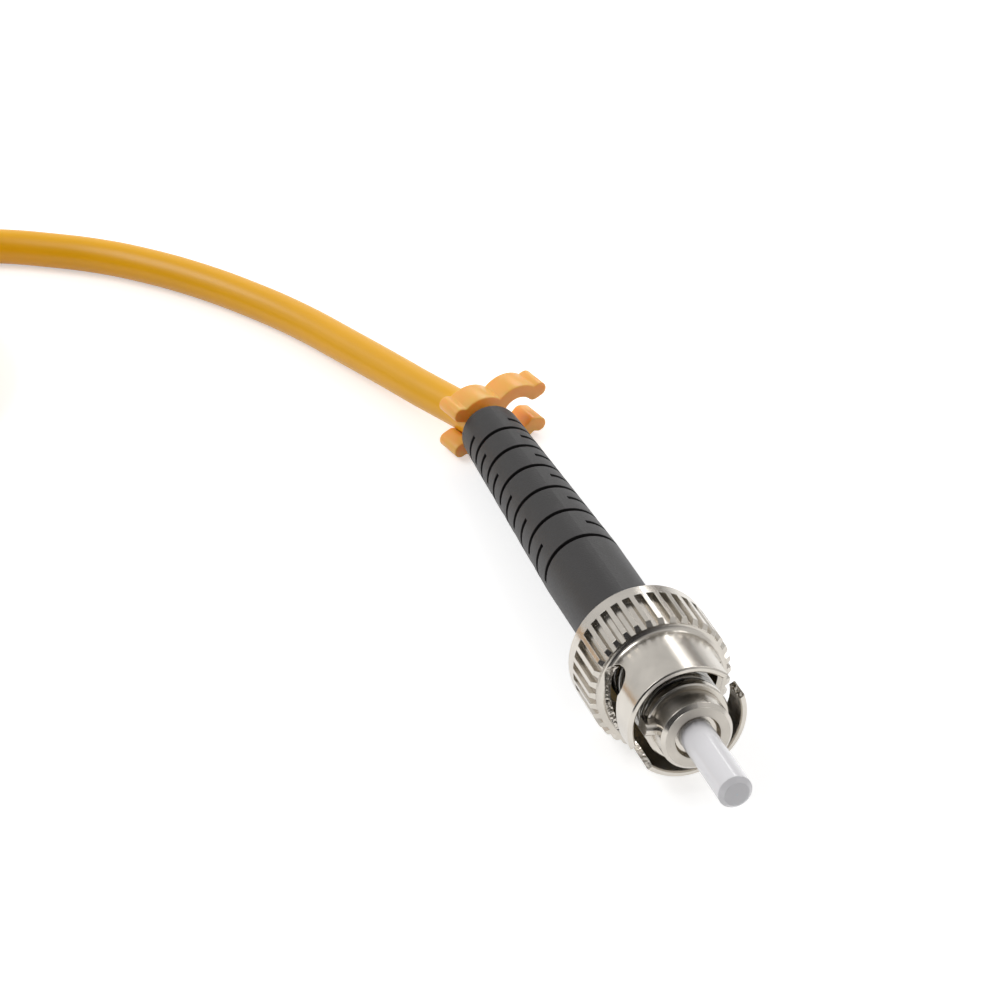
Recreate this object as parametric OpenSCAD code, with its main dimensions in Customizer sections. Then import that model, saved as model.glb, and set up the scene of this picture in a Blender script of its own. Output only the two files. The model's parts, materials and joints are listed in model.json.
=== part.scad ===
// Bayonet (ST) fibre-optic connector on a 3 mm simplex cord, with a cord clip.
//
// Every turned piece is drawn on its own axis, Z, with the nose up and Z = 0 at
// the front rim of the coupling nut. rest() then lays the connector down, nose
// towards +X, on the nut's knurl, with the boot's tail held up by the cord and its
// clip. Angles round the axis are counted from the side that ends up on top,
// anticlockwise seen from the nose.

/* [Ferrule] */
// Diameter of the ceramic ferrule
ferrule_d = 2.5; // [2.4:0.05:2.6]
// How far the ferrule stands out of the barrel's face
ferrule_reach = 7.6; // [6:0.1:9]
// Length of ferrule held inside the connector
ferrule_seat = 4.6; // [3.5:0.1:5]
// Chamfer at the ferrule's tip
ferrule_chamfer = 0.35; // [0.2:0.05:0.5]
// How much thinner the held end of the ferrule tapers, which centres it in its holder
seat_taper = 0.05; // [0.03:0.01:0.1]
// Diameter of the bare glass fibre in the ferrule
fibre_d = 0.125; // [0.125, 0.2, 0.25]

/* [Barrel] */
// Diameter of the barrel's nose
barrel_d = 5.35; // [5:0.05:5.6]
// How far the barrel's face stands out of the nut
barrel_reach = 2.05; // [1.5:0.05:2.4]
// Chamfer round the barrel's face
barrel_chamfer = 0.3; // [0.1:0.05:0.4]
// Diameter of the spring flange behind the nose
flange_d = 6.2; // [6:0.1:6.6]
// Thickness of the spring flange
flange_t = 0.6; // [0.4:0.1:1]
// Diameter of the stem that the nut slides on
stem_d = 4.5; // [4.3:0.05:4.6]
// Diameter of the rear stem that the yarn is crimped on
crimp_d = 3.9; // [3.6:0.1:4]
// Number of grip rings on the rear stem
crimp_rings = 8; // [4:1:10]
// Width of the key that lines the ferrule up
key_w = 0.95; // [0.7:0.05:1.2]
// Height of the key above the barrel's axis
key_r = 3.45; // [3.2:0.05:3.7]
// Angle of the key round the axis
key_angle = 82; // [0:1:360]

/* [Coupling nut] */
// Diameter of the nut's plain front sleeve
nut_d = 8.9; // [8.8:0.1:9.2]
// Wall of the front sleeve
nut_wall = 0.45; // [0.35:0.05:0.5]
// Overall length of the nut
nut_len = 10.85; // [10.5:0.05:11.5]
// Diameter over the knurl
knurl_d = 10.7; // [10.4:0.1:11]
// Distance from the front rim to the knurled ring
knurl_start = 5.4; // [5.2:0.1:5.6]
// Length of the plain band behind the flutes
band_len = 1.6; // [1.2:0.1:2]
// Number of flutes round the knurl
flutes = 36; // [24:2:44]
// Depth of the flutes
flute_depth = 0.42; // [0.2:0.02:0.5]
// Width of the bayonet slots
slot_w = 2.3; // [2:0.05:2.4]
// Angle of the first slot's entry round the axis
slot_angle = 123; // [0:1:360]
// Turn from the slot's entry to its pocket
slot_turn = 58; // [45:1:65]
// Depth of the slot's corner behind the rim
slot_corner = 2.9; // [2.6:0.1:3.1]
// How far the ramp falls from corner to pocket
slot_drop = 1.3; // [0.8:0.1:1.3]
// Radial running clearance between the nut and the stem
run_gap = 0.05; // [0.02:0.01:0.1]

/* [Spring] */
// Diameter of the spring's wire
wire_d = 0.5; // [0.4:0.05:0.55]
// Mean diameter of the spring
spring_d = 5.7; // [5.5:0.05:5.8]
// Number of turns, closed end turns included
spring_turns = 8; // [6:1:9]

/* [Boot] */
// Diameter of the boot at the nut
boot_d = 6.24; // [6.1:0.02:6.6]
// Diameter of the boot at its tail
boot_tail_d = 4.76; // [4.6:0.02:5]
// Distance from the nut's front rim to the boot's tail
boot_end = 46; // [44:0.5:50]
// Length of the boot's straight front part
boot_straight = 12; // [10:0.5:14]
// Radius of the rounded tail
boot_round = 0.7; // [0.3:0.1:0.8]
// Pairs of slots along the boot
boot_slots = 6; // [3:1:7]
// Width of the slots
boot_slot_w = 0.45; // [0.3:0.05:0.6]
// Angle round the axis of the first slots
boot_turn = 21; // [0:1:90]
// Height at which the cord and its clip carry the boot's tail
tail_h = 2.93; // [2.6:0.01:3.2]

/* [Cord] */
// Diameter of the cord
cord_d = 3; // [2.8:0.1:3]
// Diameter of the coil at the middle of its turns
coil_mid_d = 30; // [30:1:36]
// Turns of cord side by side in the coil
coil_lanes = 2; // [1:1:3]
// Layers of turns in the coil
coil_layers = 2; // [1:1:3]

/* [Clip] */
// Length of the clip along the cord
clip_len = 2.4; // [2:0.1:4]
// Wall of the clip
clip_wall = 1.1; // [0.8:0.05:1.2]
// Distance between the clip's two seats
clip_pitch = 3.4; // [3.3:0.05:4.6]
// Half of the angle that each seat is open
clip_open = 44; // [40:1:55]
// How far the lips reach past the wall
clip_lip = 0.5; // [0:0.1:0.8]
// Turn of the clip with the cord, seen from above
clip_turn = 15; // [0:1:30]

/* [Hidden] */
$fn = 64;

nickel = [0.80, 0.78, 0.74];
charcoal = [0.17, 0.16, 0.16];
jacket_yellow = [1.0, 0.78, 0.05];
clip_amber = [1.0, 0.72, 0.25, 0.85];

// Places along the axis, from the nose back
face_z = barrel_reach;
tip_z = face_z + ferrule_reach;
ferrule_back = face_z - ferrule_seat;
seat_start = face_z + 0.1;
holder_back = ferrule_back - 2.4;
flange_back = -flange_t;
shoulder_z = -8.95;
washer_t = 0.4;
washer_gap = 0.05;
web_back = 0.4 - nut_len;
ring_t = 0.45;
ring_front = web_back - 0.05;
ring_back = ring_front - ring_t;
collar_back = -12.2;
stem_back = -19.3;
cord_start = -20.4;
sleeve_front = collar_back - 0.1;
sleeve_neck = -19.8;
sleeve_back = -25.5;
boot_front = ring_front - 0.1;

// Radii
holder_r = 1.7;
groove_r = stem_d / 2 - 0.35;
ring_r = 2.85;
nut_bore_r = stem_d / 2 + run_gap;
nut_in_r = nut_d / 2 - nut_wall;
guide_r = 0.9;
buffer_r = 0.45;
yarn_r = crimp_d / 2 + 0.1;
sleeve_r = yarn_r + 0.4;
clip_r = cord_d / 2 + clip_wall;

// The connector lies on the rear edge of the knurl, with its tail at tail_h
knurl_back = nut_len - band_len * 0.35;
tail_reach = boot_end - knurl_back;
rest_tilt = acos(tail_h / norm([knurl_d / 2, tail_reach])) - atan(tail_reach / (knurl_d / 2));
rest_lift = knurl_d / 2 * cos(rest_tilt) + knurl_back * sin(rest_tilt);
tip_face_r = ferrule_d / 2 - ferrule_chamfer;
tail_face_r = boot_tail_d / 2 - boot_round;
rest_shift = (boot_end - tip_z) / 2 * cos(rest_tilt)
    + (tail_face_r - tip_face_r) / 2 * sin(rest_tilt);

// The cord's route from the boot's tail, through the clip and along the surface
cord_route = [
    [-27.74, -0.04, 2.93], [-29.2, -0.24, 2.76], [-30.4, -0.52, 2.64],
    [-31.8, -0.98, 2.54], [-33.6, -1.72, 2.43], [-36.6, -3, 2.26], [-39.4, -4.1, 2.1],
    [-45.2, -6.5, 1.8], [-51.1, -9.2, 1.6], [-55.8, -12, 1.5], [-60.3, -15.4, 1.5],
    [-64, -18.9, 1.5], [-67, -22.5, 1.5], [-69.4, -26.4, 1.5], [-71.4, -30.4, 1.5],
    [-72.6, -34.5, 1.5], [-73, -39, 1.5], [-73, -46, 1.5], [-73, -53, 1.5]
];
// Middle of the clip, seen from above; it lies flat on the surface
clip_at = [-30, -0.42];
coil_out_r = coil_mid_d / 2 + (coil_lanes - 1) * cord_d / 2;
coil_centre = cord_route[len(cord_route) - 1] + [coil_out_r, 0, -cord_d / 2];

// Lays what is drawn on the connector's own axis down in its place of rest
module rest() {
    translate([rest_shift, 0, rest_lift]) rotate([0, 90 - rest_tilt, 0]) rotate(180) children();
}

// The same placing for one point on the axis
function on_axis(z) = [
    rest_shift + z * cos(rest_tilt), 0, rest_lift + z * sin(rest_tilt)
];

// Radius of the ferrule's tapered seat at a height
function seat_r(z) = ferrule_d / 2 - seat_taper * (seat_start - z) / (seat_start - ferrule_back);

// Points of an arc in a profile
function arc(c, r, from, to, steps = 6) =
    [for (i = [0:steps]) c + r * [cos(from + (to - from) * i / steps), sin(from + (to - from) * i / steps)]];

function unit(v) = v / norm(v);

// Turns a solid from a closed profile of [radius, height] points
module turned(profile) {
    rotate_extrude() polygon(profile);
}

// A plain tube between two heights
module tube(outer_r, inner_r, top, bottom) {
    translate([0, 0, bottom]) difference() {
        cylinder(r = outer_r, h = top - bottom);
        translate([0, 0, -1]) cylinder(r = inner_r, h = top - bottom + 2);
    }
}

// Sweeps a round wire or cord of radius r along a line of points; sides lie level
module swept(path, r, sides = 8) {
    last = len(path) - 1;
    rings = [for (i = [0:last])
        let (
            along = unit(path[min(i + 1, last)] - path[max(i - 1, 0)]),
            side = unit(cross(along, [0, 0, 1])),
            up = cross(side, along)
        )
        for (k = [0:sides - 1])
            path[i] + r * (cos((k + 0.5) * 360 / sides) * side + sin((k + 0.5) * 360 / sides) * up)
    ];
    walls = [for (i = [0:last - 1], k = [0:sides - 1])
        let (a = i * sides + k, b = i * sides + (k + 1) % sides)
        each [[a, b, a + sides], [b, b + sides, a + sides]]
    ];
    caps = [
        [for (k = [sides - 1:-1:0]) k],
        [for (k = [0:sides - 1]) last * sides + k]
    ];
    polyhedron(rings, concat(walls, caps), convexity = 10);
}

// Zirconia ferrule: chamfered and domed tip, fibre bore with a lead-in at the back
module ferrule() {
    r = ferrule_d / 2;
    bore = fibre_d / 2;
    color("white") rest() turned([
        [bore, tip_z + 0.04], [tip_face_r * 0.6, tip_z + 0.03], [tip_face_r, tip_z],
        [r, tip_z - ferrule_chamfer], [r, seat_start],
        [seat_r(ferrule_back + 0.2), ferrule_back + 0.2], [r - 0.25, ferrule_back],
        [0.5, ferrule_back], [bore, ferrule_back + 1]
    ]);
}

// Glass fibre: bare in the ferrule, coated behind it
module fibre() {
    bare = fibre_d / 2;
    coated = 0.125;
    color("lightcyan") rest() turned([
        [0, tip_z + 0.04], [bare, tip_z + 0.04], [bare, ferrule_back + 0.9],
        [coated, ferrule_back + 0.4], [coated, cord_start], [0, cord_start]
    ]);
}

// Tight buffer round the coated fibre
module buffer_tube() {
    color("ivory") rest() tube(buffer_r, 0.125, ferrule_back - 0.3, cord_start);
}

// Turned sleeve that grips the ferrule inside the barrel
module ferrule_holder() {
    lip = face_z - 0.45;
    color(nickel) rest() turned([
        [seat_r(lip), lip], [holder_r - 0.15, lip], [holder_r, lip - 0.15],
        [holder_r, holder_back], [guide_r, holder_back], [guide_r, ferrule_back - 0.6],
        [seat_r(ferrule_back - 0.05), ferrule_back - 0.05]
    ]);
}

// Soft tube that guides the buffer through the barrel
module guide_tube() {
    color("whitesmoke") rest() tube(guide_r, 0.5, holder_back - 0.1, stem_back + 0.8);
}

// Turned body: nose, key, spring flange, stem, ring groove and ringed crimp stem
module barrel() {
    nose_r = barrel_d / 2;
    stem_r = stem_d / 2;
    crimp_r = crimp_d / 2;
    pitch = (collar_back - stem_back - 1) / crimp_rings;
    grip = [for (i = [0:crimp_rings - 1])
        let (z = collar_back - 0.5 - i * pitch)
        each [[crimp_r, z], [crimp_r - 0.2, z - pitch * 0.5], [crimp_r, z - pitch * 0.75]]
    ];
    outside = concat(
        [[holder_r, face_z], [nose_r - barrel_chamfer, face_z], [nose_r, face_z - barrel_chamfer],
         [nose_r, 0.12], [nose_r - 0.12, 0], [flange_d / 2 - 0.1, 0], [flange_d / 2, -0.1],
         [flange_d / 2, flange_back], [stem_r, flange_back], [stem_r, ring_front + 0.02],
         [groove_r, ring_front + 0.02], [groove_r, ring_back - 0.02], [stem_r, ring_back - 0.02],
         [stem_r, collar_back], [crimp_r, collar_back]],
        grip,
        [[crimp_r, stem_back + 0.3], [crimp_r - 0.3, stem_back]]
    );
    inside = [
        [1.2, stem_back], [guide_r, stem_back + 0.7], [guide_r, holder_back], [holder_r, holder_back]
    ];
    color(nickel) rest() {
        turned(concat(outside, inside));
        rotate(key_angle) key();
    }
}

// Key on the nose: a round-ended block that stands out radially
module key() {
    front = 0.95;
    translate([barrel_d / 2 - 0.2, 0, 0]) rotate([0, 90, 0])
        linear_extrude(key_r - barrel_d / 2 + 0.2) {
            translate([-front + key_w / 2, 0]) circle(d = key_w);
            translate([-front + key_w / 2, -key_w / 2]) square([front - key_w / 2 + flange_t, key_w]);
        }
}

// Compression spring with closed end turns
module spring() {
    steps = 20;
    gap = 0.02;
    top = flange_back - wire_d / 2 - gap;
    bottom = shoulder_z + washer_gap + washer_t + wire_d / 2 + gap;
    dead = wire_d + gap;
    active = (top - bottom - 2 * dead) / (spring_turns - 2);
    path = [for (i = [0:steps * spring_turns])
        let (
            n = i / steps,
            fall = n < 1 ? n * dead
                : n < spring_turns - 1 ? dead + (n - 1) * active
                : dead + (spring_turns - 2) * active + (n - spring_turns + 1) * dead
        )
        [spring_d / 2 * cos(360 * n), -spring_d / 2 * sin(360 * n), top - fall]
    ];
    color("silver") rest() swept(path, wire_d / 2);
}

// Thrust washer between the spring and the nut's shoulder
module thrust_washer() {
    front = shoulder_z + washer_gap + washer_t;
    color("gold") rest() tube(3.7, stem_d / 2 + run_gap, front, front - washer_t);
}

// Coupling nut: sleeve with two bayonet slots, fluted ring, stepped bore
module coupling_nut() {
    color(nickel) rest() difference() {
        nut_blank();
        for (side = [0, 180]) rotate(slot_angle + side) bayonet_slot();
        for (i = [0:flutes - 1]) rotate((i + 0.5) * 360 / flutes) flute();
    }
}

// The nut as it leaves the lathe
module nut_blank() {
    r = nut_d / 2;
    top_r = knurl_d / 2;
    neck = 0.45;
    edge = 0.1;
    turned(concat(
        [[nut_in_r + edge, 0], [r - edge, 0], [r, -edge]],
        arc([r + neck, -knurl_start + neck], neck, 180, 270),
        [[top_r - 0.35, -knurl_start], [top_r, -knurl_start - 0.3],
         [top_r, -knurl_back], [top_r - 0.35, -nut_len],
         [3.45, -nut_len], [3.45, web_back], [nut_bore_r, web_back],
         [nut_bore_r, shoulder_z], [nut_in_r, shoulder_z], [nut_in_r, -edge]]
    ));
}

// One straight flute of the knurl, open at the front, closed at the plain band
module flute() {
    bottom_r = knurl_d / 2 - flute_depth;
    len = nut_len - band_len - knurl_start;
    translate([0, 0, -nut_len + band_len]) linear_extrude(len + 0.4)
        polygon([[bottom_r, -0.17], [knurl_d / 2 + 0.3, -0.38], [knurl_d / 2 + 0.3, 0.38], [bottom_r, 0.17]]);
}

// Bayonet slot at angle 0: axial entry, then a ramp that falls as it turns
// clockwise, then a round pocket set a little forward to hold the stud
module bayonet_slot() {
    steps = 14;
    low_r = nut_in_r - 0.6;
    high_r = nut_d / 2 + 0.6;
    half = slot_w / 2;
    mid_r = nut_d / 2;
    slope = atan2(-slot_drop, mid_r * slot_turn * PI / 180);
    walls = [for (i = [0:steps])
        let (f = i / steps, a = -slot_turn * f, z = -slot_corner - slot_drop * f)
        for (corner = [[low_r, -1], [high_r, -1], [high_r, 1], [low_r, 1]])
            let (
                across = corner[1] * half * cos(slope),
                shift = corner[1] * half * sin(slope) / mid_r * 180 / PI
            )
            [corner[0] * cos(a + shift), corner[0] * sin(a + shift), z + across]
    ];
    faces = concat(
        [[0, 1, 2, 3]],
        [for (i = [0:steps - 1], k = [0:3])
            let (a = 4 * i + k, b = 4 * i + (k + 1) % 4)
            each [[b, a, a + 4], [b, a + 4, b + 4]]],
        [[4 * steps + 3, 4 * steps + 2, 4 * steps + 1, 4 * steps]]
    );
    translate([low_r, -half, -slot_corner]) cube([high_r - low_r, slot_w, slot_corner + 1]);
    stud_hole(0, -slot_corner, half);
    stud_hole(-slot_turn, -slot_corner - slot_drop, half);
    stud_hole(-slot_turn - 1, -slot_corner - slot_drop + 0.35, half);
    polyhedron(walls, faces, convexity = 6);
}

// Round hole through the nut's wall, as an end mill leaves it
module stud_hole(angle, z, r) {
    rotate(angle) translate([nut_in_r - 0.6, 0, z]) rotate([0, 90, 0]) cylinder(r = r, h = 1.8);
}

// Open ring in the barrel's groove that stops the nut
module retaining_ring() {
    color("silver") rest() rotate(30) rotate_extrude(angle = 300)
        translate([groove_r + 0.02, ring_back]) square([ring_r - groove_r - 0.02, ring_t]);
}

// Strength yarn folded forward over the crimp stem
module aramid_yarn() {
    color("khaki") rest() tube(yarn_r, crimp_d / 2, sleeve_front - 0.2, stem_back - 0.2);
}

// Stepped crimp sleeve: six-sided over the yarn, round over the cord
module crimp_sleeve() {
    neck_r = cord_d / 2 + 0.35;
    color(nickel) rest() difference() {
        union() {
            intersection() {
                turned([
                    [0, sleeve_front], [sleeve_r - 0.15, sleeve_front], [sleeve_r, sleeve_front - 0.15],
                    [sleeve_r, sleeve_neck + 0.3], [sleeve_r - 0.3, sleeve_neck], [0, sleeve_neck]
                ]);
                translate([0, 0, sleeve_neck - 1]) cylinder(r = sleeve_r + 0.1, h = 12, $fn = 6);
            }
            turned([
                [0, sleeve_neck + 1], [sleeve_r - 0.3, sleeve_neck + 1], [sleeve_r - 0.3, sleeve_neck],
                [neck_r, sleeve_neck - 0.6], [neck_r, sleeve_back + 0.1],
                [neck_r - 0.1, sleeve_back], [0, sleeve_back]
            ]);
        }
        translate([0, 0, stem_back - 0.3]) cylinder(r = yarn_r, h = 10);
        translate([0, 0, sleeve_back - 1]) cylinder(r = cord_d / 2, h = 10);
    }
}

// Boot: straight grip, tapered tail, and slots that let it bend
module boot() {
    color(charcoal) rest() difference() {
        boot_blank();
        for (i = [0:boot_slots - 1]) {
            boot_slot_pair(boot_slot_z(i), boot_turn, 148);
            boot_slot_pair(boot_slot_z(i - 0.5), boot_turn + 90, 106);
        }
    }
}

// The boot before its slots are cut; the inside is stepped over the crimp sleeve
module boot_blank() {
    r = boot_d / 2;
    tail_r = boot_tail_d / 2;
    taper_z = boot_front - boot_straight;
    turned(concat(
        [[r - 0.2, boot_front], [r, boot_front - 0.2], [r, taper_z], [tail_r + 0.04, -boot_end + 1.6]],
        arc([tail_r - boot_round, -boot_end + boot_round], boot_round, 0, -90),
        [[cord_d / 2 + 0.16, -boot_end], [cord_d / 2 + 0.03, -boot_end + 1.6],
         [cord_d / 2 + 0.03, sleeve_back - 0.6], [cord_d / 2 + 0.4, sleeve_back - 0.3],
         [cord_d / 2 + 0.4, sleeve_neck - 0.8], [sleeve_r + 0.08, sleeve_neck - 0.1],
         [sleeve_r + 0.08, collar_back + 0.2], [ring_r + 0.08, collar_back + 0.4],
         [ring_r + 0.08, boot_front]]
    ));
}

// Slots stand closer together towards the tail
function boot_slot_z(i) =
    let (first = -boot_end + 4.7, run = 19.1, n = i / (boot_slots - 0.999))
    first + run * n * (0.84 + 0.16 * n) - (i - floor(i)) * 0.12;

// Two opposite slots, each open over the given angle, cut to the cord's bore
module boot_slot_pair(z, turn, open) {
    for (side = [0, 180]) rotate(turn + side - open / 2) rotate_extrude(angle = open)
        translate([cord_d / 2 + 0.35, z - boot_slot_w / 2]) square([boot_d / 2, boot_slot_w]);
}

// Cord from the crimp, through the boot and the clip, to the coil
module cord_jacket() {
    path = concat([for (z = [cord_start, -30, -38, 1 - boot_end]) on_axis(z)], cord_route);
    color(jacket_yellow) swept(path, cord_d / 2);
}

// Outer shape of the coil that the rest of the cord is wound into
module cord_coil() {
    r = cord_d / 2;
    in_r = coil_mid_d / 2 - (coil_lanes - 1) * r;
    wide = (coil_lanes - 1) * cord_d;
    high = (coil_layers - 1) * cord_d;
    color(jacket_yellow) translate(coil_centre) rotate_extrude() translate([in_r, r]) {
        for (x = [0, wide], y = [0, high]) translate([x, y]) circle(r);
        translate([-r, 0]) square([wide + cord_d, high]);
        translate([0, -r]) square([wide, high + cord_d]);
    }
}

// Clip with two open seats that holds this cord beside a second one
module duplex_clip() {
    color(clip_amber) translate([clip_at.x, clip_at.y, clip_r]) rotate(clip_turn)
        rotate([0, 90, 0]) rotate(180) translate([0, 0, -clip_len / 2])
            linear_extrude(clip_len) difference() {
                for (seat = [0, 1]) translate([0, -seat * clip_pitch]) rotate(seat * 180) clip_seat_wall();
                for (seat = [0, 1]) translate([0, -seat * clip_pitch]) circle(d = cord_d);
            }
}

// Wall of one seat, open towards +Y, with rounded lips that lead a cord in
module clip_seat_wall() {
    lip_r = clip_wall * 0.55;
    lip_at = cord_d / 2 + lip_r;
    lip_end = [lip_at * sin(clip_open) + clip_lip * 0.35, lip_at * cos(clip_open) + clip_lip];
    difference() {
        circle(clip_r);
        polygon([[0, 0], [-5 * tan(clip_open), 5], [5 * tan(clip_open), 5]]);
    }
    for (s = [-1, 1]) hull() {
        translate([s * lip_at * sin(clip_open), lip_at * cos(clip_open)]) circle(lip_r);
        translate([s * lip_end.x, lip_end.y]) circle(lip_r);
    }
}

ferrule();
fibre();
buffer_tube();
ferrule_holder();
barrel();
guide_tube();
spring();
thrust_washer();
coupling_nut();
retaining_ring();
aramid_yarn();
crimp_sleeve();
boot();
cord_jacket();
cord_coil();
duplex_clip();
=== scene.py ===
import json
import math

import bpy
from mathutils import Matrix, Vector

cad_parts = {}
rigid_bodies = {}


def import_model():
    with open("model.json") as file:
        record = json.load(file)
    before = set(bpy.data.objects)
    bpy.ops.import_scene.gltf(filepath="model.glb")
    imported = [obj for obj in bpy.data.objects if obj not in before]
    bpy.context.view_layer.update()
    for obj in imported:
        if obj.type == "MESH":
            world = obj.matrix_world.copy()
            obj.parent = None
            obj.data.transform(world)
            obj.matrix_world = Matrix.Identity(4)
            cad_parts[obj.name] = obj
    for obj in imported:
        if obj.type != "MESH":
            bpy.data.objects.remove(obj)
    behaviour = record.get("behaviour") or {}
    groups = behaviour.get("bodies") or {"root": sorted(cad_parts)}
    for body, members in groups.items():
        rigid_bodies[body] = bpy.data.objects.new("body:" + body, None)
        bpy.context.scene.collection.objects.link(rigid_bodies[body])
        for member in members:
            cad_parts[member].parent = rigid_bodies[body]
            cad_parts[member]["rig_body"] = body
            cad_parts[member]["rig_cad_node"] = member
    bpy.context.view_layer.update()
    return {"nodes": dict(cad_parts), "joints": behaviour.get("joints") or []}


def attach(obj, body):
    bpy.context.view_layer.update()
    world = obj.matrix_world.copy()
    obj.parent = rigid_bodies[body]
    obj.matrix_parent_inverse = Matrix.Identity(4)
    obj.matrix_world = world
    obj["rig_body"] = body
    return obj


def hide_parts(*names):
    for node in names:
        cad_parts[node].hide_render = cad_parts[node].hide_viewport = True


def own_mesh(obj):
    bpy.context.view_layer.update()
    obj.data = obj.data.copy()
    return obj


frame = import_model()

MM = 0.001

# The connector's own axis: the point on it at the nut's front rim, and the way the nose points
SPIN = next(j for j in frame["joints"] if j["name"] == "nut_spin")
RIM = Vector(SPIN["pos_m"])
NOSE = Vector(SPIN["axis"]).normalized()
TOP = (Vector((0, 0, 1)) - NOSE * NOSE.z).normalized()
OWN_FRAME = Matrix((TOP, NOSE.cross(TOP), NOSE)).transposed()


def on_axis(z, out=0.0, turn=0.0):
    """A point in metres: z mm along the axis from the nut's rim, out mm from it at an angle."""
    a = math.radians(turn)
    return RIM + OWN_FRAME @ Vector((out * math.cos(a), out * math.sin(a), z)) * MM


# ---------------------------------------------------------------- camera, clip and cord

CAMERA_AT = Vector((229.376, -81.707, 170.865)) * MM
CAMERA_AIM = Vector((-0.79923, 0.25698, -0.54332))
CAMERA_LENS = 144.0
SENSOR = 36.0

CORD_D = 3.0 * MM
TIP = 9.65
BOOT_TAIL = -46.0
PIGTAIL = 0.5
CORD_LENGTH = PIGTAIL - (TIP - BOOT_TAIL) * MM
CORD_ROUTE = [
    (-27.74, -0.04, 2.93), (-29.2, -0.24, 2.76), (-30.4, -0.52, 2.64),
    (-31.8, -0.98, 2.54), (-33.6, -1.72, 2.43), (-36.6, -3, 2.26), (-39.4, -4.1, 2.1),
    (-45.2, -6.5, 1.8), (-51.1, -9.2, 1.6), (-55.8, -12, 1.5), (-60.3, -15.4, 1.5),
    (-64, -18.9, 1.5), (-67, -22.5, 1.5), (-69.4, -26.4, 1.5), (-71.4, -30.4, 1.5),
    (-72.6, -34.5, 1.5), (-73, -39, 1.5), (-73, -46, 1.5), (-73, -53, 1.5),
]
COIL_OUT_R = 16.5
COIL_IN_R = 13.5
# Parts of a turn: how long each crossing is, and how far apart the coil's points are
COIL_CROSSING = 0.22
COIL_STEP = 1 / 24
CLIP_ROUNDING = 0.35
SMOOTH_UNDER = math.radians(50)
SHARP_OVER = math.radians(40)


def alone(piece):
    """Selects one piece and makes it the active one."""
    bpy.ops.object.select_all(action="DESELECT")
    piece.select_set(True)
    bpy.context.view_layer.objects.active = piece


def make_camera():
    data = bpy.data.cameras.new("camera")
    data.lens = CAMERA_LENS
    data.sensor_width = SENSOR
    data.clip_start = 0.01
    cam = bpy.data.objects.new("camera", data)
    bpy.context.scene.collection.objects.link(cam)
    cam.location = CAMERA_AT
    cam.rotation_euler = CAMERA_AIM.to_track_quat("-Z", "Y").to_euler()
    bpy.context.scene.camera = cam


def length_of(points):
    return sum((b - a).length for a, b in zip(points, points[1:]))


def eased(x):
    x = min(1.0, max(0.0, x))
    return x * x * (3 - 2 * x)


def coil_points(start, length):
    """Two turns side by side on the surface, then two on top, with a short crossing each."""
    centre = start + Vector((COIL_OUT_R * MM, 0, 0))
    wide = COIL_OUT_R - COIL_IN_R
    points = []
    turn = COIL_STEP
    while length_of([start] + points) < length:
        inward = eased((turn - 1 + COIL_CROSSING) / COIL_CROSSING)
        rise = eased((turn - 2 + COIL_CROSSING) / COIL_CROSSING)
        outward = eased((turn - 3 + COIL_CROSSING) / COIL_CROSSING)
        r = COIL_OUT_R - wide * inward + wide * outward
        a = math.pi + turn * math.tau
        points.append(centre + Vector((r * math.cos(a), r * math.sin(a), 3 * rise)) * MM)
        turn += COIL_STEP
    return points


def make_cord():
    """The whole cord on one smooth curve: out of the boot, through the clip, along to its coil."""
    inside = [on_axis(z) for z in (BOOT_TAIL + 12, BOOT_TAIL + 6, BOOT_TAIL + 1)]
    route = [Vector(p) * MM for p in CORD_ROUTE]
    coil = coil_points(route[-1], CORD_LENGTH - length_of(route))
    line = inside + route + coil
    data = bpy.data.curves.new("cord", "CURVE")
    data.dimensions = "3D"
    data.resolution_u = 4
    spline = data.splines.new("BEZIER")
    spline.bezier_points.add(len(line) - 1)
    for point, place in zip(spline.bezier_points, line):
        point.co = place
        point.handle_left_type = point.handle_right_type = "AUTO"
    cord = bpy.data.objects.new("cord", data)
    bpy.context.scene.collection.objects.link(cord)
    # The bare line is first turned into a mesh copy, which is deleted again, then the same line gets
    # its thickness
    alone(cord)
    bpy.ops.object.convert(target="MESH", keep_original=True)
    bpy.ops.object.delete()
    data.bevel_depth = CORD_D / 2
    data.bevel_resolution = 8
    data.use_fill_caps = True
    alone(cord)
    bpy.ops.object.convert(target="MESH")
    bpy.ops.object.shade_smooth_by_angle(angle=SMOOTH_UNDER)
    cord = bpy.context.object
    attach(cord, "connector")
    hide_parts("cord_jacket", "cord_coil")
    return cord


def make_clip():
    """The moulded clip: the solid's own outline with every edge rounded off."""
    clip = frame["nodes"]["duplex_clip"].copy()
    clip.data = clip.data.copy()
    clip.name = "rounded_clip"
    clip.data.name = "rounded_clip"
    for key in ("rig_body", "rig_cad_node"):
        del clip[key]
    clip.parent = None
    bpy.context.scene.collection.objects.link(clip)
    alone(clip)
    bpy.ops.object.mode_set(mode="EDIT")
    bpy.ops.mesh.select_all(action="SELECT")
    bpy.ops.mesh.remove_doubles(threshold=1e-6)
    bpy.ops.mesh.dissolve_limited(angle_limit=math.radians(1))
    bpy.ops.mesh.select_all(action="DESELECT")
    bpy.ops.mesh.select_mode(type="EDGE")
    bpy.ops.mesh.edges_select_sharp(sharpness=SHARP_OVER)
    bpy.ops.mesh.bevel(offset=CLIP_ROUNDING * MM, segments=4, affect="EDGES", clamp_overlap=True)
    bpy.ops.mesh.select_all(action="SELECT")
    bpy.ops.mesh.quads_convert_to_tris()
    bpy.ops.object.mode_set(mode="OBJECT")
    bpy.ops.object.shade_smooth_by_angle(angle=SMOOTH_UNDER)
    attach(clip, "connector")
    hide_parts("duplex_clip")
    return clip


make_camera()
clip = make_clip()
cord = make_cord()

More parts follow.
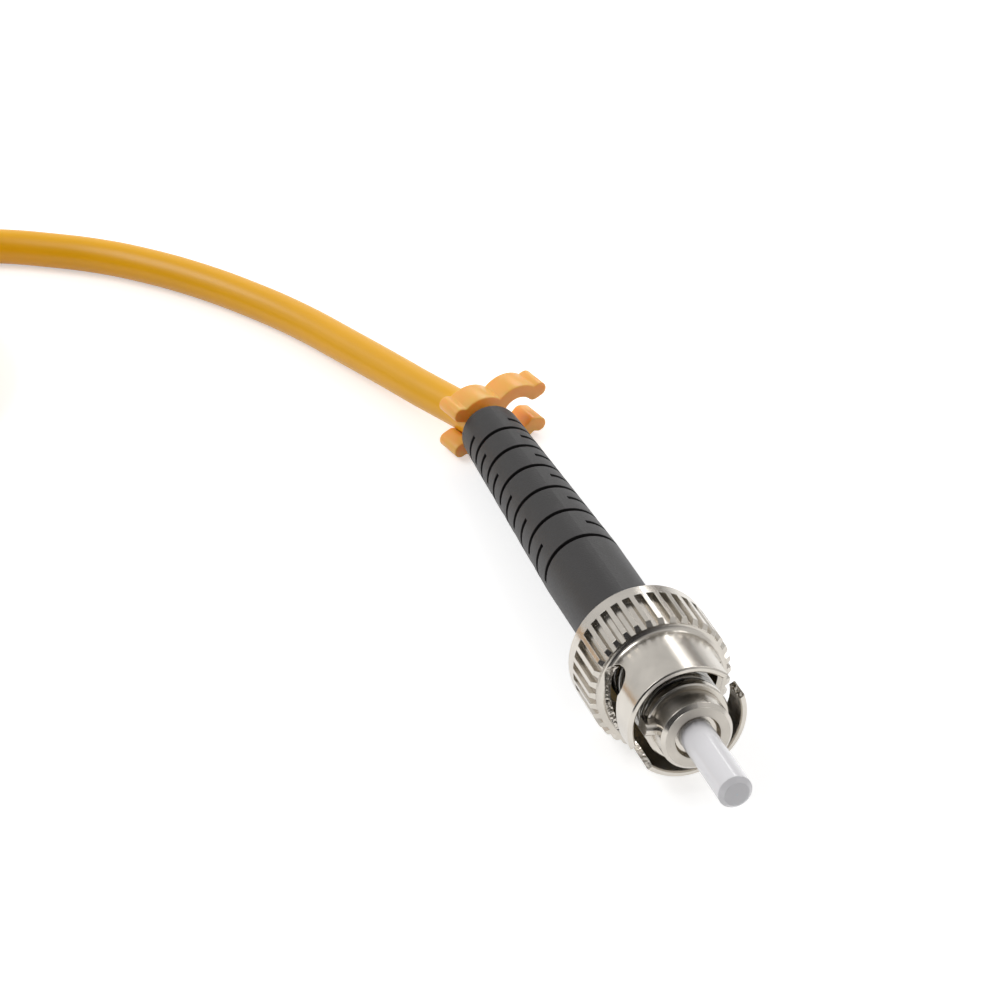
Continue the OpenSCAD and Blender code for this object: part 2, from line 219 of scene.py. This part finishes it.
# ---------------------------------------------------------------- floor and light


def new_material(name):
    material = bpy.data.materials.new(name)
    material.use_nodes = True
    tree = material.node_tree
    shader = tree.nodes["Principled BSDF"]
    return material, tree, shader


def link(tree, a, b):
    tree.links.new(a, b)


def node(tree, kind, **settings):
    made = tree.nodes.new(kind)
    for key, value in settings.items():
        if key in made.inputs:
            made.inputs[key].default_value = value
        else:
            setattr(made, key, value)
    return made


FLOOR_GLOW = 0.52
TENT_LEVEL = 0.8
# Each card of the tent: the way it lies, how wide its middle and its soft edge are, its colour
TENT_CARDS = [
    ((0.80, -0.42, 0.30), 25, 75, (0.05, 0.05, 0.055)),
    ((-0.80, 0.49, 0.335), 5, 14, (0.10, 0.08, 0.07)),
    ((-0.30, 0.10, 0.95), 8, 30, (0.45, 0.43, 0.41)),
]


def make_floor():
    bpy.ops.mesh.primitive_plane_add(size=6, location=(0, 0, 0))
    floor = bpy.context.object
    floor.name = "floor"
    material = bpy.data.materials.new("floor_paper")
    material.use_nodes = True
    tree = material.node_tree
    tree.nodes.clear()
    out = node(tree, "ShaderNodeOutputMaterial")
    diffuse = node(tree, "ShaderNodeBsdfDiffuse", Color=(0.8, 0.8, 0.8, 1))
    glow = node(tree, "ShaderNodeEmission", Color=(1, 1, 1, 1), Strength=FLOOR_GLOW)
    both = node(tree, "ShaderNodeAddShader")
    mix = node(tree, "ShaderNodeMixShader")
    path = node(tree, "ShaderNodeLightPath")
    seen = node(tree, "ShaderNodeMath", operation="MAXIMUM")
    any_seen = node(tree, "ShaderNodeMath", operation="MAXIMUM")
    link(tree, path.outputs["Is Camera Ray"], seen.inputs[0])
    link(tree, path.outputs["Is Glossy Ray"], seen.inputs[1])
    link(tree, seen.outputs[0], any_seen.inputs[0])
    link(tree, path.outputs["Is Transmission Ray"], any_seen.inputs[1])
    link(tree, diffuse.outputs[0], both.inputs[0])
    link(tree, glow.outputs[0], both.inputs[1])
    link(tree, any_seen.outputs[0], mix.inputs[0])
    link(tree, diffuse.outputs[0], mix.inputs[1])
    link(tree, both.outputs[0], mix.inputs[2])
    link(tree, mix.outputs[0], out.inputs[0])
    floor.data.materials.append(material)


def make_world():
    """A white tent with soft-edged grey cards in front, behind and above."""
    world = bpy.data.worlds.new("tent")
    bpy.context.scene.world = world
    world.use_nodes = True
    tree = world.node_tree
    tree.nodes.clear()
    out = node(tree, "ShaderNodeOutputWorld")
    soft = node(tree, "ShaderNodeBackground", Strength=TENT_LEVEL)
    coord = node(tree, "ShaderNodeTexCoord")
    colour = None
    for aim, inner, outer, tint in TENT_CARDS:
        facing = node(tree, "ShaderNodeVectorMath", operation="DOT_PRODUCT")
        facing.inputs[1].default_value = Vector(aim).normalized()
        edge = node(tree, "ShaderNodeMapRange", interpolation_type="SMOOTHSTEP")
        edge.inputs["From Min"].default_value = math.cos(math.radians(outer))
        edge.inputs["From Max"].default_value = math.cos(math.radians(inner))
        blend = node(tree, "ShaderNodeMix", data_type="RGBA")
        blend.inputs[6].default_value = (1, 1, 1, 1)
        blend.inputs[7].default_value = (*tint, 1)
        link(tree, coord.outputs["Generated"], facing.inputs[0])
        link(tree, facing.outputs["Value"], edge.inputs["Value"])
        link(tree, edge.outputs[0], blend.inputs["Factor"])
        if colour:
            link(tree, colour, blend.inputs[6])
        colour = blend.outputs[2]
    link(tree, colour, soft.inputs["Color"])
    link(tree, soft.outputs[0], out.inputs[0])


def add_softbox(name, place, aim, size, watts):
    data = bpy.data.lights.new(name, "AREA")
    data.shape = "RECTANGLE"
    data.size, data.size_y = size
    data.energy = watts
    lamp = bpy.data.objects.new(name, data)
    bpy.context.scene.collection.objects.link(lamp)
    lamp.location = place
    lamp.rotation_euler = (Vector(aim) - Vector(place)).to_track_quat("-Z", "Y").to_euler()


make_floor()
make_world()
add_softbox("key_softbox", (-0.10, -0.35, 0.42), (0, 0, 0), (0.35, 0.25), 1.1)
add_softbox("back_softbox", (-0.35, 0.30, 0.35), (0, 0, 0), (0.4, 0.2), 0.9)
bpy.context.scene.view_settings.view_transform = "Standard"

# ---------------------------------------------------------------- finishes

# The nut's sleeve, inside and outside radius, and how far behind its rim the slot marks start
SLEEVE_IN_R = 4.0
SLEEVE_OUT_R = 4.45
RIM_LAND = 0.15
# The barrel's flat front face, from the nut's rim
NOSE_FACE = 2.05
MASK_MARGIN = 0.02
METAL_EDGE_R = 0.05
MOULDED_EDGE_R = 0.08
RING_DEPTH = 0.0012
CHATTER_DEPTH = 0.11
GRAIN_DEPTH = 0.02
GRAIN_ROUGHNESS = 0.3


def own_coordinates(tree):
    """Object coordinates turned into the connector's own frame, with Z along its axis."""
    coord = node(tree, "ShaderNodeTexCoord")
    mapping = node(tree, "ShaderNodeMapping", vector_type="TEXTURE")
    mapping.inputs["Location"].default_value = RIM
    mapping.inputs["Rotation"].default_value = OWN_FRAME.to_euler()
    link(tree, coord.outputs["Object"], mapping.inputs["Vector"])
    split = node(tree, "ShaderNodeSeparateXYZ")
    link(tree, mapping.outputs[0], split.inputs[0])
    return mapping, split


def radius_of(tree, split):
    flat = node(tree, "ShaderNodeCombineXYZ")
    link(tree, split.outputs[0], flat.inputs[0])
    link(tree, split.outputs[1], flat.inputs[1])
    size = node(tree, "ShaderNodeVectorMath", operation="LENGTH")
    link(tree, flat.outputs[0], size.inputs[0])
    return size.outputs["Value"]


def above(tree, value, limit, width=0.01 * MM):
    """1 where value is over the limit, 0 under it, with a short ramp between."""
    ramp = node(tree, "ShaderNodeMapRange")
    ramp.inputs["From Min"].default_value = limit - width
    ramp.inputs["From Max"].default_value = limit + width
    link(tree, value, ramp.inputs["Value"])
    return ramp.outputs[0]


def maths(tree, operation, a, b):
    made = node(tree, "ShaderNodeMath", operation=operation)
    for place, value in ((0, a), (1, b)):
        if isinstance(value, (int, float)):
            made.inputs[place].default_value = value
        else:
            link(tree, value, made.inputs[place])
    return made.outputs[0]


def round_the_axis(tree):
    """The direction round the connector's axis, which turning marks follow."""
    coord = node(tree, "ShaderNodeTexCoord")
    arm = node(tree, "ShaderNodeVectorMath", operation="SUBTRACT")
    arm.inputs[1].default_value = RIM
    link(tree, coord.outputs["Object"], arm.inputs[0])
    round_it = node(tree, "ShaderNodeVectorMath", operation="CROSS_PRODUCT")
    round_it.inputs[0].default_value = NOSE
    link(tree, arm.outputs[0], round_it.inputs[1])
    return round_it.outputs[0]


def turned_metal(name, colour, roughness, marks=1.0, milled=False, cast_face=False):
    """Turned and plated metal: rings left by the tool, small stains, softened edges."""
    material, tree, shader = new_material(name)
    shader.inputs["Metallic"].default_value = 1.0
    shader.inputs["Anisotropic"].default_value = 0.6
    shader.inputs["Anisotropic Rotation"].default_value = 0.25
    link(tree, round_the_axis(tree), shader.inputs["Tangent"])
    mapping, split = own_coordinates(tree)
    radius = radius_of(tree, split)
    along = maths(tree, "ADD", split.outputs[2], radius)
    rings = node(tree, "ShaderNodeTexNoise", noise_dimensions="1D", Scale=14000.0, Detail=3.0)
    link(tree, along, rings.inputs["W"])
    cloud = node(tree, "ShaderNodeTexNoise", Scale=700.0, Detail=4.0)
    link(tree, mapping.outputs[0], cloud.inputs["Vector"])
    tone = node(tree, "ShaderNodeMix", data_type="RGBA")
    tone.inputs[6].default_value = (*colour, 1)
    tone.inputs[7].default_value = (*[c * 0.78 for c in colour], 1)
    link(tree, cloud.outputs["Fac"], tone.inputs["Factor"])
    link(tree, tone.outputs[2], shader.inputs["Base Color"])
    height = maths(tree, "MULTIPLY", rings.outputs["Fac"], RING_DEPTH * MM * marks)
    rough = node(tree, "ShaderNodeMapRange")
    rough.inputs["To Min"].default_value = roughness * 0.7
    rough.inputs["To Max"].default_value = roughness * 1.4
    link(tree, rings.outputs["Fac"], rough.inputs["Value"])
    rough_out = rough.outputs[0]
    if milled:
        # Chatter marks of the end mill on the walls of the bayonet slots
        past_outside = above(tree, radius, (SLEEVE_OUT_R - MASK_MARGIN) * MM)
        under_outside = maths(tree, "SUBTRACT", 1.0, past_outside)
        in_sleeve = maths(tree, "MULTIPLY", above(tree, radius, SLEEVE_IN_R * MM), under_outside)
        at_rim = above(tree, split.outputs[2], -RIM_LAND * MM)
        behind_rim = maths(tree, "SUBTRACT", 1.0, at_rim)
        wall = maths(tree, "MULTIPLY", in_sleeve, behind_rim)
        chatter = node(tree, "ShaderNodeTexNoise", Scale=3200.0, Detail=1.0)
        link(tree, mapping.outputs[0], chatter.inputs["Vector"])
        steps = maths(tree, "MULTIPLY", chatter.outputs["Fac"], wall)
        height = maths(tree, "ADD", height, maths(tree, "MULTIPLY", steps, CHATTER_DEPTH * MM))
    if cast_face:
        # The flat front face of the nose is left grainy by the plating
        flat = above(tree, split.outputs[2], NOSE_FACE * MM - MASK_MARGIN * MM)
        grain = node(tree, "ShaderNodeTexNoise", Scale=9000.0, Detail=4.0)
        link(tree, mapping.outputs[0], grain.inputs["Vector"])
        grain_on_face = maths(tree, "MULTIPLY", grain.outputs["Fac"], flat)
        height = maths(tree, "ADD", height, maths(tree, "MULTIPLY", grain_on_face, GRAIN_DEPTH * MM))
        rough_out = maths(tree, "ADD", rough_out, maths(tree, "MULTIPLY", flat, GRAIN_ROUGHNESS))
    link(tree, rough_out, shader.inputs["Roughness"])
    bevel = node(tree, "ShaderNodeBevel", samples=6, Radius=METAL_EDGE_R * MM)
    bump = node(tree, "ShaderNodeBump", Strength=1.0, Distance=1.0)
    link(tree, height, bump.inputs["Height"])
    link(tree, bevel.outputs[0], bump.inputs["Normal"])
    link(tree, bump.outputs[0], shader.inputs["Normal"])
    return material


def speckled(name, colour, roughness, grain=0.0, scale=3000.0, **sockets):
    """A moulded or ceramic surface with a fine grain and slight changes of tone."""
    material, tree, shader = new_material(name)
    coord = node(tree, "ShaderNodeTexCoord")
    fine = node(tree, "ShaderNodeTexNoise", Scale=scale, Detail=5.0)
    wide = node(tree, "ShaderNodeTexNoise", Scale=160.0, Detail=3.0)
    link(tree, coord.outputs["Object"], fine.inputs["Vector"])
    link(tree, coord.outputs["Object"], wide.inputs["Vector"])
    tone = node(tree, "ShaderNodeMix", data_type="RGBA")
    tone.inputs[6].default_value = (*colour, 1)
    tone.inputs[7].default_value = (*[c * 0.88 for c in colour], 1)
    link(tree, wide.outputs["Fac"], tone.inputs["Factor"])
    link(tree, tone.outputs[2], shader.inputs["Base Color"])
    rough = node(tree, "ShaderNodeMapRange")
    rough.inputs["To Min"].default_value = roughness * 0.85
    rough.inputs["To Max"].default_value = roughness * 1.15
    link(tree, fine.outputs["Fac"], rough.inputs["Value"])
    link(tree, rough.outputs[0], shader.inputs["Roughness"])
    bevel = node(tree, "ShaderNodeBevel", samples=6, Radius=MOULDED_EDGE_R * MM)
    bump = node(tree, "ShaderNodeBump", Strength=0.5, Distance=grain * MM)
    link(tree, fine.outputs["Fac"], bump.inputs["Height"])
    link(tree, bevel.outputs[0], bump.inputs["Normal"])
    link(tree, bump.outputs[0], shader.inputs["Normal"])
    for socket, value in sockets.items():
        shader.inputs[socket].default_value = value
    return material


NICKEL = (0.66, 0.62, 0.56)
nickel = turned_metal("nickel_plate", NICKEL, 0.2)
nut_nickel = turned_metal("nut_nickel", NICKEL, 0.2, milled=True)
nose_nickel = turned_metal("nose_nickel", NICKEL, 0.22, cast_face=True)
spring_steel = turned_metal("spring_steel", (0.5, 0.49, 0.47), 0.25, marks=0.3)
washer_brass = turned_metal("washer_brass", (0.72, 0.55, 0.28), 0.3)
zirconia = speckled("zirconia", (0.83, 0.82, 0.84), 0.14, 0.001, 5000.0)
boot_rubber = speckled("boot_rubber", (0.021, 0.019, 0.019), 0.5, 0.03, 7000.0)
jacket = speckled("cord_jacket", (0.93, 0.46, 0.002), 0.36, 0.006, 2500.0)
clip_plastic = speckled("clip_plastic", (1.0, 0.50, 0.10), 0.32, 0.003, 3000.0,
                        **{"Subsurface Weight": 0.7, "Subsurface Scale": 0.0016})
buffer_plastic = speckled("buffer_plastic", (0.85, 0.83, 0.75), 0.45, 0.002)
guide_plastic = speckled("guide_plastic", (0.85, 0.85, 0.85), 0.4, 0.002)
yarn = speckled("yarn", (0.78, 0.62, 0.18), 0.7, 0.02)
glass = speckled("fibre_glass", (0.8, 0.9, 0.95), 0.05, 0.0)

FINISHES = {
    "ferrule": zirconia, "fibre": glass, "buffer_tube": buffer_plastic,
    "ferrule_holder": nickel, "barrel": nose_nickel, "guide_tube": guide_plastic,
    "spring": spring_steel, "thrust_washer": washer_brass, "coupling_nut": nut_nickel,
    "retaining_ring": spring_steel, "aramid_yarn": yarn, "crimp_sleeve": nickel,
    "boot": boot_rubber, "cord_jacket": jacket, "cord_coil": jacket,
    "duplex_clip": clip_plastic,
}


for name, material in FINISHES.items():
    for place in frame["nodes"][name].material_slots:
        place.material = material
cord.data.materials.append(jacket)
clip.data.materials.clear()
clip.data.materials.append(clip_plastic)

# ---------------------------------------------------------------- spring

FLANGE_BACK = -0.6
WASHER_FRONT = -8.5
WIRE_R = 0.25
SPRING_R = 2.85
SPRING_TURNS = 8
SPRING_GAP = 0.02
POINTS_PER_TURN = 28


def make_spring():
    """A round wire wound with closed end turns."""
    top = FLANGE_BACK - WIRE_R - SPRING_GAP
    bottom = WASHER_FRONT + WIRE_R + SPRING_GAP
    closed = 2 * WIRE_R + SPRING_GAP
    pitch = (top - bottom - 2 * closed) / (SPRING_TURNS - 2)
    places = []
    for i in range(SPRING_TURNS * POINTS_PER_TURN + 1):
        n = i / POINTS_PER_TURN
        fall = min(n, 1) * closed + max(0, min(n, SPRING_TURNS - 1) - 1) * pitch
        fall += max(0, n - SPRING_TURNS + 1) * closed
        places.append(on_axis(top - fall, SPRING_R, -360 * n))
    data = bpy.data.curves.new("wound_spring", "CURVE")
    data.dimensions = "3D"
    data.bevel_depth = WIRE_R * MM
    data.bevel_resolution = 3
    data.use_fill_caps = True
    spline = data.splines.new("POLY")
    spline.points.add(len(places) - 1)
    for point, place in zip(spline.points, places):
        point.co = (*place, 1)
    spring = bpy.data.objects.new("wound_spring", data)
    bpy.context.scene.collection.objects.link(spring)
    alone(spring)
    bpy.ops.object.convert(target="MESH")
    bpy.ops.object.shade_smooth_by_angle(angle=SMOOTH_UNDER)
    spring = bpy.context.object
    spring.data.materials.append(spring_steel)
    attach(spring, "connector")
    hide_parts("spring")
    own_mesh(spring)


make_spring()
